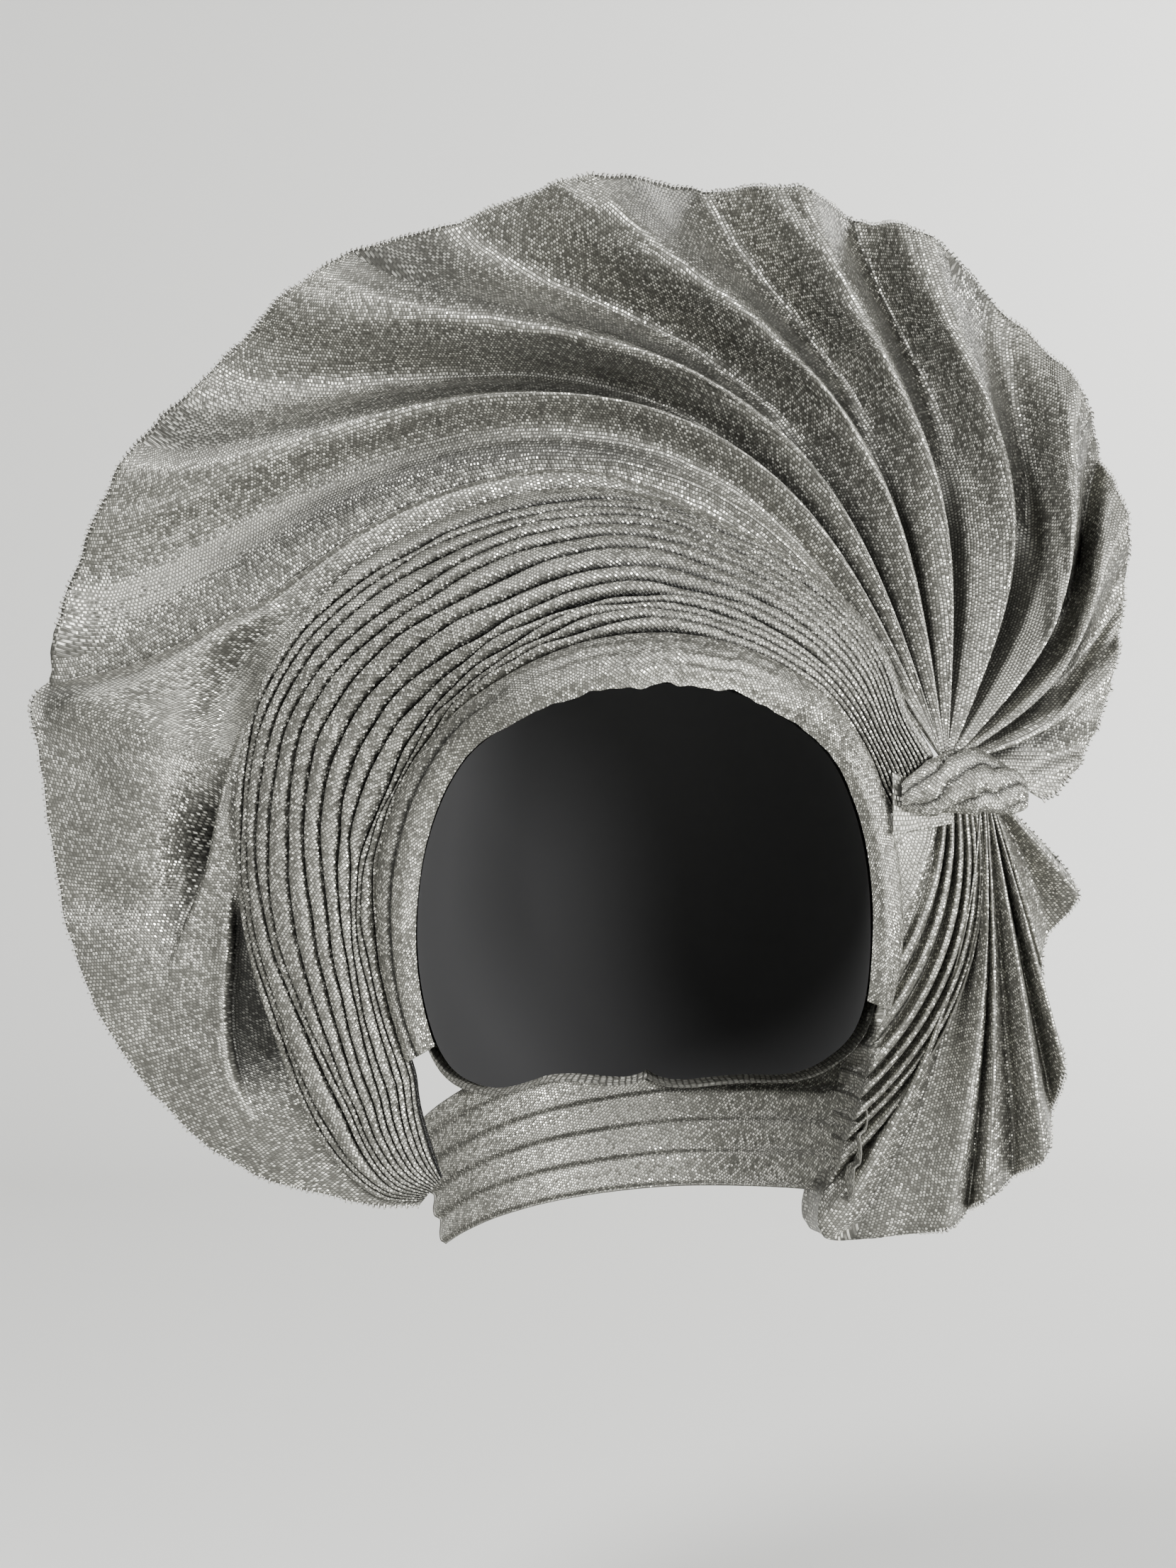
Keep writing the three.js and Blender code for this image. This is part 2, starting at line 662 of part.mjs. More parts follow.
const gele = new THREE.Group();
gele.name = "tied_gele";
gele.add(
  buildCap(),
  buildCapEdge(),
  buildFaceBand(),
  buildFrontPleats(),
  buildFan(),
  buildKnot(),
  buildTieStrip(),
  buildSideTail(),
  buildNapeWrap(),
);

export default gele;
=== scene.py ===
import math

import bpy
import numpy as np
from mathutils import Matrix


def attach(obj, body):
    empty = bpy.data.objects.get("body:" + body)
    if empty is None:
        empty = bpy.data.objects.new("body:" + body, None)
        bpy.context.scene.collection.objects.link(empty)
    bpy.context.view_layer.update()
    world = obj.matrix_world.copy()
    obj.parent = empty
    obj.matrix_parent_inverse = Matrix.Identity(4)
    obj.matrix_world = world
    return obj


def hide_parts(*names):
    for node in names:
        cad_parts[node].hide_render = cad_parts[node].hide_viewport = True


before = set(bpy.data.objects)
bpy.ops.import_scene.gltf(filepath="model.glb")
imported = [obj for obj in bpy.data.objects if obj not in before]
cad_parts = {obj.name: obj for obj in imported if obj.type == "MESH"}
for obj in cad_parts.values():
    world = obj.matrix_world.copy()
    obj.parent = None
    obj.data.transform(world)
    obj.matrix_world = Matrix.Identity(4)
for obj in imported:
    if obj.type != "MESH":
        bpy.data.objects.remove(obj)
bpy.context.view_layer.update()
degree = math.pi / 180


# Curves and noise

def ease(t):
    s = np.clip(t, 0, 1)
    return s * s * (3 - 2 * s)


def bell(t):
    return np.exp(-t * t)


def mix(a, b, t):
    return a + (b - a) * t


def through(xs, ys):
    # smooth curve through the rows of a table
    xs = np.asarray(xs, float)
    ys = np.asarray(ys, float)
    slopes = np.empty_like(ys)
    slopes[1:-1] = (ys[2:] - ys[:-2]) / (xs[2:] - xs[:-2])
    slopes[0] = (ys[1] - ys[0]) / (xs[1] - xs[0])
    slopes[-1] = (ys[-1] - ys[-2]) / (xs[-1] - xs[-2])

    def at(x):
        x = np.clip(x, xs[0], xs[-1])
        i = np.clip(np.searchsorted(xs, x, side="right") - 1, 0, len(xs) - 2)
        span = xs[i + 1] - xs[i]
        t = (x - xs[i]) / span
        bend = t * t * (3 - 2 * t)
        lean = (1 - t) * slopes[i] - t * slopes[i + 1]
        return mix(ys[i], ys[i + 1], bend) + span * t * (1 - t) * lean

    return at


def wobble(x, seed, pitch):
    # smooth noise between about -1 and 1
    rng = np.random.default_rng(seed)
    total = 0
    for scale in (1, 0.53, 0.29):
        total = total + scale * np.sin(2 * math.pi * x / (pitch * scale) + rng.uniform(0, 6.28))
    return total / 1.8


def wrinkle(u, v, seed, pitchU, pitchV):
    # smooth noise over a sheet, long in one direction
    rng = np.random.default_rng(seed)
    total = 0
    for k in range(5):
        slant = rng.uniform(-0.5, 0.5)
        size = rng.uniform(0.55, 1.4)
        phase = rng.uniform(0, 6.28)
        waves = np.sin(2 * math.pi * (u / (pitchU * size) + slant * v / pitchV) + phase)
        total = total + waves * (0.6 + 0.4 * np.sin(2 * math.pi * v / (pitchV * size) + 2.3 * phase))
    return total / 3


# Meshes from grids of points, in millimetres

def gridNormals(p):
    n = np.cross(np.gradient(p, axis=0), np.gradient(p, axis=1))
    return n / np.maximum(np.linalg.norm(n, axis=2, keepdims=True), 1e-9)


def runLength(line):
    return np.concatenate([[0], np.cumsum(np.linalg.norm(np.diff(line, axis=0), axis=1))])


def plainWeave(p):
    # weave coordinates from lengths along the middle row and column
    rows, columns = p.shape[:2]
    u = np.broadcast_to(runLength(p[rows // 2]), (rows, columns))
    v = np.broadcast_to(runLength(p[:, columns // 2])[:, None], (rows, columns))
    uv = np.stack([u, v], -1)
    return uv[:, :-1], uv[:, 1:]


def foldWeave(p, cuts, ridges):
    # weave coordinates measured across from each fold's ridge, and along it from its end
    rows, columns = p.shape[:2]
    left = np.zeros((rows, columns - 1, 2))
    right = np.zeros((rows, columns - 1, 2))
    for a, b, r in zip(cuts[:-1], cuts[1:], ridges):
        t = np.gradient(p[:, r], axis=0)
        t = t / np.maximum(np.linalg.norm(t, axis=1, keepdims=True), 1e-9)
        step = np.diff(p[:, a : b + 1], axis=1)
        ahead = np.einsum("ijk,ik->ij", step, t)
        aside = np.sqrt(np.maximum((step**2).sum(-1) - ahead**2, 0))
        zero = np.zeros((rows, 1))
        u = np.concatenate([zero, np.cumsum(aside, 1)], 1)
        v = np.concatenate([zero, np.cumsum(ahead, 1)], 1)
        length = runLength(p[:, r])
        v = v - v[:, r - a : r - a + 1] + (length - length[-1])[:, None]
        uv = np.stack([u - u[:, r - a : r - a + 1] + 7.3 * a, v], -1)
        left[:, a:b] = uv[:, :-1]
        right[:, a:b] = uv[:, 1:]
    return left, right


def sheetObject(name, p, weave, material, wall=0.0, paintedShade=None):
    # sheet of cloth from a grid of points; with a wall it gets a back and hems
    # the last argument, from 0 to 1, is shade painted into the colour where a point lies deep in a crease,
    # pocket or hollow
    rows, columns = p.shape[:2]
    index = np.arange(rows * columns).reshape(rows, columns)
    corners = [index[:-1, :-1], index[1:, :-1], index[1:, 1:], index[:-1, 1:]]
    faces = np.stack(corners, -1).reshape(-1, 4)
    left, right = weave
    uv = np.stack([left[:-1], left[1:], right[1:], right[:-1]], 2).reshape(-1, 4, 2)
    points = p.reshape(-1, 3)
    if wall > 0:
        n = gridNormals(p).reshape(-1, 3)
        count = rows * columns
        points = np.concatenate([points + n * wall / 2, points - n * wall / 2])
        rim = np.concatenate([index[0], index[1:, -1], index[-1, -2::-1], index[-2::-1, 0]])
        hem = np.stack([rim[:-1], rim[1:], rim[1:] + count, rim[:-1] + count], -1)
        faces = np.concatenate([faces, faces[:, ::-1] + count, hem])
        uv = np.concatenate([uv, uv[:, ::-1], np.zeros((len(hem), 4, 2))])
    mesh = bpy.data.meshes.new(name)
    mesh.from_pydata((points * 0.001).tolist(), [], faces.tolist())
    layer = mesh.uv_layers.new(name="weave")
    layer.data.foreach_set("uv", uv.reshape(-1).astype(np.float32))
    # the painted shade, kept on each point (and on the back too) for the cloth's colour to darken by
    depth = np.broadcast_to(0.0 if paintedShade is None else paintedShade, (rows, columns)).reshape(-1)
    creaseShade = mesh.attributes.new("paintedShade", "FLOAT", "POINT")
    creaseShade.data.foreach_set("value", np.tile(depth, len(points) // len(depth)).astype(np.float32))
    mesh.polygons.foreach_set("use_smooth", np.ones(len(faces), bool))
    mesh.materials.append(material)
    mesh.update()
    piece = bpy.data.objects.new(name, mesh)
    bpy.context.scene.collection.objects.link(piece)
    return piece


leastShare = 0.301


def declareSheet(piece, p, node):
    # flat size from the lengths along and across the sheet; a smaller area is raised to the least share
    across = np.linalg.norm(np.diff(p, axis=1), axis=2).sum(1).max() * 0.001
    along = np.linalg.norm(np.diff(p, axis=0), axis=2).sum(0).max() * 0.001
    cell = np.cross(np.diff(p, axis=0)[:, :-1], np.diff(p, axis=1)[:-1])
    area = np.linalg.norm(cell, axis=2).sum() * 1e-6
    area = float(np.clip(area, leastShare * across * along, across * along))
    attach(piece, "root")
    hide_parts(node)
    print(piece.name, "flat", round(across, 3), round(along, 3), "area", round(area, 4))


# Materials

def colour(code):
    parts = [int(code[k : k + 2], 16) / 255 for k in (1, 3, 5)]
    linear = [c / 12.92 if c <= 0.04045 else ((c + 0.055) / 1.055) ** 2.4 for c in parts]
    return (*linear, 1)


def addNode(tree, kind, settings=None, inputs=None):
    # inputs by name or number: a socket is linked, anything else is set
    node = tree.nodes.new(kind)
    for key, value in (settings or {}).items():
        setattr(node, key, value)
    for key, value in (inputs or {}).items():
        socket = node.inputs[key]
        if isinstance(value, bpy.types.NodeSocket):
            tree.links.new(value, socket)
        else:
            socket.default_value = value
    return node


def newMaterial(name):
    material = bpy.data.materials.new(name)
    material.use_nodes = True
    material.node_tree.nodes.clear()
    return material, material.node_tree


def lurexMaterial(name, angle, rib, yarn, dark, bright):
    # woven metallic cloth: ribs of flat bright yarns, with sizes in millimetres
    material, tree = newMaterial(name)
    weave = addNode(tree, "ShaderNodeUVMap", {"uv_map": "weave"}).outputs[0]
    drift = addNode(tree, "ShaderNodeTexNoise", None, {"Vector": weave, "Scale": 0.07, "Detail": 2.0})
    drifted = addNode(
        tree, "ShaderNodeVectorMath", {"operation": "MULTIPLY_ADD"},
        {0: drift.outputs["Color"], 1: (2.4, 2.4, 0.0), 2: weave},
    )
    turned = addNode(
        tree, "ShaderNodeVectorRotate", {"rotation_type": "Z_AXIS"},
        {"Vector": drifted.outputs[0], "Angle": (angle + 90) * degree},
    )
    yarns = addNode(
        tree, "ShaderNodeTexBrick", {"offset": 0.5},
        {
            "Vector": turned.outputs[0], "Color1": (0, 0, 0, 1), "Color2": (1, 1, 1, 1),
            "Mortar": (0.35, 0.35, 0.35, 1), "Scale": 1.0, "Mortar Size": 0.3 * rib,
            "Mortar Smooth": 1.0, "Brick Width": yarn, "Row Height": rib,
        },
    )
    raised = addNode(
        tree, "ShaderNodeMapRange", None, {"Value": yarns.outputs["Fac"], "To Min": 1.0, "To Max": 0.32}
    )
    tone = addNode(tree, "ShaderNodeValToRGB", None, {"Fac": yarns.outputs["Color"]})
    tone.color_ramp.elements[0].color = (0.05, 0.05, 0.05, 1)
    for position, value in ((0.5, 0.22), (0.78, 0.52)):
        stop = tone.color_ramp.elements.new(position)
        stop.color = (value, value, value, 1)
    patch = addNode(tree, "ShaderNodeTexNoise", None, {"Vector": weave, "Scale": 0.05, "Detail": 3.0})
    patchTone = addNode(
        tree, "ShaderNodeMapRange", None, {"Value": patch.outputs["Fac"], "To Min": 0.62, "To Max": 1.4}
    )
    lit = addNode(
        tree, "ShaderNodeMath", {"operation": "MULTIPLY"}, {0: tone.outputs["Color"], 1: raised.outputs[0]}
    )
    shown = addNode(
        tree, "ShaderNodeMath", {"operation": "MULTIPLY", "use_clamp": True},
        {0: lit.outputs[0], 1: patchTone.outputs[0]},
    )
    # shade painted into the colour: points marked deep in a crease, pocket or hollow are darkened down to 3 per
    # cent
    creaseShade = addNode(tree, "ShaderNodeAttribute", {"attribute_name": "paintedShade"})
    paintedShadeFactor = addNode(
        tree, "ShaderNodeMapRange", None, {"Value": creaseShade.outputs["Fac"], "To Min": 1.0, "To Max": 0.03}
    )
    base = addNode(
        tree, "ShaderNodeMix", {"data_type": "RGBA"},
        {0: shown.outputs[0], 6: colour(dark), 7: colour(bright)},
    )
    shaded = addNode(
        tree, "ShaderNodeVectorMath", {"operation": "SCALE"}, {0: base.outputs[2], "Scale": paintedShadeFactor.outputs[0]}
    )
    glint = addNode(
        tree, "ShaderNodeMapRange", None,
        {"Value": lit.outputs[0], "From Min": 0.5, "From Max": 0.85, "To Min": 0.42, "To Max": 0.22},
    )
    height = addNode(
        tree, "ShaderNodeMath", {"operation": "MULTIPLY_ADD"},
        {0: yarns.outputs["Color"], 1: 0.45, 2: raised.outputs[0]},
    )
    plain = addNode(tree, "ShaderNodeNewGeometry").outputs["Normal"]
    # each yarn lies at its own small tilt, which makes the sparkle
    offset = addNode(
        tree, "ShaderNodeVectorMath", {"operation": "MULTIPLY_ADD"},
        {0: yarns.outputs["Color"], 1: (-0.5, 0.0, 0.5), 2: (0.25, 0.0, -0.25)},
    )
    tilted = addNode(tree, "ShaderNodeVectorMath", {"operation": "ADD"}, {0: plain, 1: offset.outputs[0]})
    normal = addNode(tree, "ShaderNodeVectorMath", {"operation": "NORMALIZE"}, {0: tilted.outputs[0]})
    bump = addNode(
        tree, "ShaderNodeBump", None,
        {"Strength": 0.5, "Distance": 0.0003, "Height": height.outputs[0], "Normal": normal.outputs[0]},
    )
    cloth = addNode(
        tree, "ShaderNodeBsdfPrincipled", None,
        {
            "Base Color": shaded.outputs[0], "Metallic": 0.7, "Roughness": glint.outputs[0],
            "Normal": bump.outputs[0],
        },
    )
    addNode(tree, "ShaderNodeOutputMaterial", None, {"Surface": cloth.outputs[0]})
    return material


def plainMaterial(name, code, metallic, roughness):
    material, tree = newMaterial(name)
    surface = addNode(
        tree, "ShaderNodeBsdfPrincipled", None,
        {"Base Color": colour(code), "Metallic": metallic, "Roughness": roughness},
    )
    addNode(tree, "ShaderNodeOutputMaterial", None, {"Surface": surface.outputs[0]})
    return material


# open cloth seen flat, its ribs square to the selvage
lurexOpen = lurexMaterial("silver lurex, open", 0, 1.2, 1.1, "#2B2A26", "#FDFCF0")
# the same cloth where the pleats lie on the bias
lurexBias = lurexMaterial("silver lurex, on the bias", 42, 1.0, 1.05, "#22211D", "#F2F1E5")
# matt black stretch knit of the cap's edge and lining
blackStretch = plainMaterial("black stretch knit", "#0C0C0D", 0.0, 0.85)
# looped metal yarn along the selvage
selvageYarn = plainMaterial("selvage yarn", "#A9A8A2", 0.7, 0.4)
print("materials made")


# Shared frame shape of the head, as in the CAD

head = {"right": 73.5, "left": 79.0, "depth": 97.0, "rise": 104.0}
capEdgeY = through(
    [-90, -60, -40, -25, -12, 0, 20, 40, 60, 90, 120, 140, 160, 180, 205, 215, 226, 240, 270],
    [80, 66, 30, -4, -18, -22, -23, -31, -52, -65, -55, -34, -22, -15, 0, 10, 36, 68, 80],
)
bandTurns = [-22, 0, 15, 31, 40, 60, 90, 120, 139, 165, 180, 196, 212, 219, 231]
bandRadius = through(
    bandTurns,
    [79, 77.5, 78.8, 82.7, 85.3, 87.8, 88.7, 88.5, 89.6, 88.4, 86.7, 87.3, 91.5, 97.6, 108.9],
)
bandY = through(bandTurns, [-5, -19, -20, -24, -28, -47, -57, -46, -29, -15, -10, -2, 6, 9, 13])


def polar(turn, radius, y):
    turn, radius, y = np.broadcast_arrays(turn, radius, y)
    return np.stack([radius * np.cos(turn * degree), y, radius * np.sin(turn * degree)], -1)


def headReach(turn, grow):
    c = np.cos(turn * degree)
    s = np.sin(turn * degree)
    side = np.where(c > 0, head["right"], head["left"]) + grow
    return 1 / np.hypot(c / side, s / (head["rise"] + grow))


def headPoint(turn, along, grow):
    return polar(turn, headReach(turn, grow) * np.sin(along), -(head["depth"] + grow) * np.cos(along))


def edgeAlong(turn):
    return np.arccos(np.clip(-capEdgeY(turn) / head["depth"], -1, 1))


# Crown cap: the hidden dome that the head fills, a smooth cloth with faint pulls

crownCap = {"turns": 181, "rings": 60, "pull": 0.35}
turn = np.linspace(-90, 270, crownCap["turns"])[None, :]
ring = np.linspace(0, 1, crownCap["rings"])[:, None]
along = mix(edgeAlong(turn), math.pi, ring)
pull = crownCap["pull"] * wobble(turn, 11, 30) * np.sin(math.pi * ring)
capPoints = headPoint(turn, along, pull)
cap = sheetObject("crownCap", capPoints, plainWeave(capPoints), lurexOpen)
declareSheet(cap, capPoints, "crown_cap")
print("crown cap made")


# Cap edge: black stretch that shows before the cap's front, and lines the cap behind it

capEdge = {"turns": 181, "rings": 40, "shows": 2.2, "inside": -3.4}
turn = np.linspace(-90, 270, capEdge["turns"])[None, :]
ring = np.linspace(0, 1, capEdge["rings"])[:, None]
shows = capEdge["shows"] * ease((turn + 26) / 8) * ease((216 - turn) / 8) - 1.5
start = edgeAlong(turn) - shows / head["depth"]
along = mix(start, math.pi, ring**1.4)
edgePoints = headPoint(turn, along, capEdge["inside"] + 0 * ring)
edge = sheetObject("capEdge", edgePoints, plainWeave(edgePoints), blackStretch)
declareSheet(edge, edgePoints, "cap_edge")
print("cap edge made")


# Face band: a soft ruched roll round the face

faceBand = {"from": -20, "to": 210, "stations": 620, "height": 3.2, "ruche": 0.55}
turn = np.linspace(faceBand["from"], faceBand["to"], faceBand["stations"])[:, None]
share = np.linspace(-0.12, 1.1, 30)[None, :]
y0 = capEdgeY(turn) - 2.1
r0 = headReach(turn, 0) * np.sin(edgeAlong(turn)) - 1
forehead = bell((turn - 85) / 34)
r0 = r0 + forehead * 1.1 * wobble(turn, 5, 16)
r1 = bandRadius(turn) + 0.6
y1 = bandY(turn)
length = np.hypot(r1 - r0, y1 - y0)
outR = (y1 - y0) / length
outY = -(r1 - r0) / length
roll = np.sqrt(np.clip(1 - (2 * np.clip(share, 0, 1) - 1) ** 2, 0, 1)) ** 0.8
rise = faceBand["height"] * roll - 1.6 * np.clip(-share, 0, 1) / 0.12
lines = wrinkle(share * 12, turn * 1.5, 21, 5.0, 60) * mix(0.35, 1, forehead)
puckers = wobble(turn + 9 * share, 22, 7) * forehead
rise = rise + faceBand["ruche"] * (lines + 0.5 * puckers) * roll
notches = ((86, 1.5), (54, 1.4), (70, 0.7), (104, 0.7))  # turn and depth
for at, depth in notches:
    rise = rise - depth * bell((turn - at - 2 * share) / 1.6) * bell((share - 0.2) / 0.4)
parted = ease((turn - 112) / 30)
rise = rise - 1.5 * parted * bell((share - 0.5) / 0.09)
# shade painted into the colour along the groove where the band parts
partingShade = 0.9 * parted * bell((share - 0.5) / 0.07)
bandPoints = polar(turn, mix(r0, r1, share) + outR * rise, mix(y0, y1, share) + outY * rise)
band = sheetObject("faceBand", bandPoints, plainWeave(bandPoints), lurexBias, 0, partingShade)
declareSheet(band, bandPoints, "face_band")
print("face band made")


# Front pleats: knife pleats over the forehead, each with a folded edge that lies over the next

sections = {
    "turn": [
        31, 40, 50, 60, 80, 90, 100, 120, 139, 145, 150, 154, 159.5, 165, 172, 180, 196, 212, 219, 226, 231,
    ],
    "stack": [
        100.2, 102, 110.1, 116.2, 126.4, 134, 138.8, 144.9, 147.8, 147.4, 146.2, 144.6, 141.7, 138.6, 135.2,
        132.3, 127.9, 129.5, 129.7, 126.9, 118.6,
    ],
    "stackY": [
        -25.2, -26, -24, -20, -12.7, -10, -7.3, -3, 0.8, 2, 2.7, 3.3, 4.1, 5.1, 6.4, 8, 11.2, 14.5, 16.1,
        17, 15,
    ],
    "wing": [
        102.5, 104.3, 113.1, 119.5, 130.1, 139.1, 147.7, 155.5, 162.4, 172.5, 181.4, 192.9, 215.6, 208,
        199.8, 193.8, 178.7, 157.5, 142.9, 130.6, 121.1,
    ],
    "wingY": [
        -23, -23, -20, -15, -7.3, -4, -0.7, 4, 9.2, 11, 13.1, 15.1, 18.3, 21.3, 24.6, 27, 29, 26, 22.5,
        19, 16,
    ],
}
stackRadius = through(sections["turn"], sections["stack"])
stackY = through(sections["turn"], sections["stackY"])
wingRadius = through(sections["turn"], sections["wing"])
wingY = through(sections["turn"], sections["wingY"])
even = [k / 13 for k in range(14)]
pleatEdges = {
    29: even,
    34: even,
    60: [0, 0.06, 0.12, 0.18, 0.24, 0.31, 0.39, 0.48, 0.57, 0.66, 0.74, 0.82, 0.91, 1],
    90: [0, 0.061, 0.122, 0.168, 0.213, 0.274, 0.36, 0.482, 0.579, 0.675, 0.741, 0.812, 0.883, 1],
    120: [0, 0.045, 0.083, 0.124, 0.165, 0.227, 0.33, 0.434, 0.537, 0.62, 0.723, 0.806, 0.868, 1],
    150: [0, 0.027, 0.051, 0.078, 0.176, 0.275, 0.392, 0.51, 0.608, 0.706, 0.804, 0.882, 0.941, 1],
    180: [0, 0.037, 0.1, 0.142, 0.183, 0.233, 0.32, 0.425, 0.557, 0.712, 0.79, 0.89, 0.945, 1],
    210: [0, 0.029, 0.087, 0.145, 0.233, 0.302, 0.378, 0.465, 0.552, 0.61, 0.669, 0.86, 0.93, 1],
    228: even,
    232: even,
}
frontPleats = {"from": 25, "to": 231, "stations": 300, "tall": 3.0, "lap": 2.6, "round": 0.45}
turn = np.linspace(frontPleats["from"], frontPleats["to"], frontPleats["stations"])
beneath = 3 * ease((31 - turn) / 6)
r0 = bandRadius(np.maximum(turn, 31)) - 0.2
y0 = bandY(np.maximum(turn, 31)) + 0.4 + beneath
r1 = stackRadius(turn)
y1 = stackY(turn) + beneath
length = np.hypot(r1 - r0, y1 - y0)
outR = (y1 - y0) / length
outY = -(r1 - r0) / length
edges = []
for k in range(14):
    line = through(list(pleatEdges), [pleatEdges[key][k] for key in pleatEdges])(turn)
    sway = 0.012 * wobble(turn, 40 + k, 38) * np.sin(math.pi * np.clip(turn - 31, 0, 200) / 200)
    edges.append((line + sway * (0 < k < 13)) * length)
across = []
lift = []
# over the forehead the creases are seen at a slant, so the shade painted into each crease reaches further up
# each face
shadeReachOverForehead = bell((turn - 88) / 42)
# shade painted into the colour: full on the hidden laps, fading up each face from its crease, and growing round
# the back of each folded edge
creaseShade = []
cuts = [0]
ridges = []
for k in range(13):
    wide = np.maximum(edges[k + 1] - edges[k], 0.5)
    tall = np.minimum(frontPleats["tall"], 0.75 * wide) * (1 + 0.14 * wobble(turn, 60 + k, 30))
    lap = np.minimum(frontPleats["lap"], 0.55 * wide)
    bend = np.minimum(frontPleats["round"], 0.16 * tall + 0.05)
    deep = -0.75 * tall
    if k == 7:
        deep = deep - 2.5 * bell((turn - 88) / 7)
    low = edges[k] - lap
    for t in (0.0, 0.5):
        across.append(low + lap * t)
        lift.append(deep - 0.15)
        creaseShade.append(1 + 0 * turn)
    for t in (0.0, 0.04, 0.09, 0.15, 0.23, 0.34, 0.5, 0.66, 0.82, 0.93):
        across.append(edges[k] + 0.1 * bend + (wide - 1.1 * bend) * t)
        lift.append(deep + (tall - deep) * (1 - (1 - t) ** 4.2))
        reach = t * wide - 0.12 - 0.2 * wide * shadeReachOverForehead
        creaseShade.append(1 - ease(reach / (np.maximum(0.26 * wide, 0.7) + 0.12 * wide * shadeReachOverForehead)))
    ridges.append(len(across) - 1)
    for a in (60, 20, -20, -60):
        across.append(edges[k + 1] - bend + bend * np.cos(a * degree))
        lift.append(tall - bend + bend * np.sin(a * degree))
        creaseShade.append(ease((20 - a) / 70) + 0 * turn)
    for t in (0.35, 0.75):
        across.append(edges[k + 1] - bend - (lap - bend) * t)
        lift.append(mix(tall - 2 * bend, deep, t))
        creaseShade.append(1 + 0 * turn)
    cuts.append(len(across))
cuts[-1] = len(across) - 1
across = np.stack(across, 1)
lift = np.stack(lift, 1) + 0.08 * length[:, None] * np.sin(math.pi * np.clip(across / length[:, None], 0, 1))
lift = lift + 0.25 * wrinkle(across, turn[:, None] * 2, 31, 9, 34)
part = across / length[:, None]
pleatPoints = polar(
    turn[:, None],
    mix(r0[:, None], r1[:, None], part) + outR[:, None] * lift,
    mix(y0[:, None], y1[:, None], part) + outY[:, None] * lift,
)
pleatWeave = foldWeave(pleatPoints, cuts, ridges)
pleats = sheetObject("frontPleats", pleatPoints, pleatWeave, lurexBias, 0, np.stack(creaseShade, 1))
declareSheet(pleats, pleatPoints, "front_pleats")
print("front pleats made")


# Left wing: the outermost pleat, which opens into a broad sheet that ends in the selvage

leftWing = {"stations": 380, "columns": 128, "wall": 0.5, "ridge": 3.2}
turn = np.linspace(31, 231, leftWing["stations"])[:, None]
share = np.linspace(0, 1, leftWing["columns"])[None, :]
r1 = stackRadius(turn) - 1.2
y1 = stackY(turn) + 0.7
r2 = wingRadius(turn) + 0.5 * wobble(turn, 71, 9) * ease((turn - 158) / 4)
y2 = wingY(turn)
r = mix(r1, r2, share)
ridge = np.minimum(leftWing["ridge"], 0.3 * (r2 - r1))
furl = 1 - ease((turn - 150) / 20)
rise = ridge * ease(share / 0.8) * mix(0.5, 1, furl) - ridge * 1.1 * furl * ease((share - 0.82) / 0.18)
roll = ease((turn - 138) / 8) * (1 - ease((turn - 158) / 5))
rise = rise + roll * (6 * bell((share - 0.74) / 0.2) - 9 * ease((share - 0.8) / 0.2))
# turn, radius, width in turn, width in radius, height
swells = [
    (150, 156, 9, 8, -7.0),
    (161, 173, 9, 13, 4.5),
    (178.5, 186, 2.6, 20, -4.0),
    (185, 172, 6, 16, 3.5),
    (201, 152, 7, 12, 3.0),
    (192, 164, 3.0, 14, -1.6),
]
for at, far, turnWide, farWide, tall in swells:
    rise = rise + tall * bell((turn - at) / turnWide) * bell((r - far) / farWide)
stripEdge = through([145, 154.6, 161.7, 173.4, 181, 186, 200], [148, 146, 145.5, 146, 153, 158, 166])(turn)
pocket = bell((turn - 171) / 8.5)
past = r - stripEdge
rise = rise - 12 * pocket * ease((past + 0.4) / 2) * (1 - ease((past - 3) / 17))
rise = rise + 1.8 * pocket * bell((past + 1.5) / 3)
under = 6 * pocket * ease(past / 1.6) * (1 - ease((past - 1.6) / 9))
slitEdge = through([170, 178, 185, 197, 206, 215], [136, 137.4, 139, 145.5, 147, 147])(turn)
slit = ease((turn - 175) / 6) * (1 - ease((turn - 199) / 9))
rise = rise - 5.5 * slit * ease((slitEdge - r) / 2.2) + 1.0 * slit * bell((r - slitEdge - 1.5) / 2.5)
rise = rise + 0.35 * wrinkle(turn * 2.6, r, 72, 24, 70) * ease((r2 - r1 - 12) / 20)
flutter = ease((share - 0.75) / 0.25) * ease((turn - 156) / 5)
rise = rise + 1.1 * flutter * wobble(turn, 73, 13)
# shade painted into the colour in the pocket, in the slit, and along the wing's inner edge beside the pleat
# stack
wingShade = 0.9 * pocket * ease((past + 0.5) / 1.5) * (1 - ease((past - 2) / 10))
wingShade = np.maximum(wingShade, 0.85 * slit * ease((slitEdge - r - 0.3) / 1.6))
wingShade = np.maximum(wingShade, 0.9 * (1 - ease((r - r1 - 1.0) / 1.6)))
wingPoints = polar(turn, r - under, mix(y1, y2, share) - rise)
u = runLength(wingPoints[:, int(0.75 * leftWing["columns"])])[:, None] + 0 * share
v = r - r2
weave = np.stack(np.broadcast_arrays(u, v), -1)
wing = sheetObject("leftWing", wingPoints, (weave[:, :-1], weave[:, 1:]), lurexOpen, leftWing["wall"], wingShade)
declareSheet(wing, wingPoints, "front_pleats")
wingSelvage = wingPoints[np.searchsorted(turn[:, 0], 159.5) :, -1]
print("left wing made")


# Fan: folds that spread from the knot to the selvage, with the small flap beside the knot

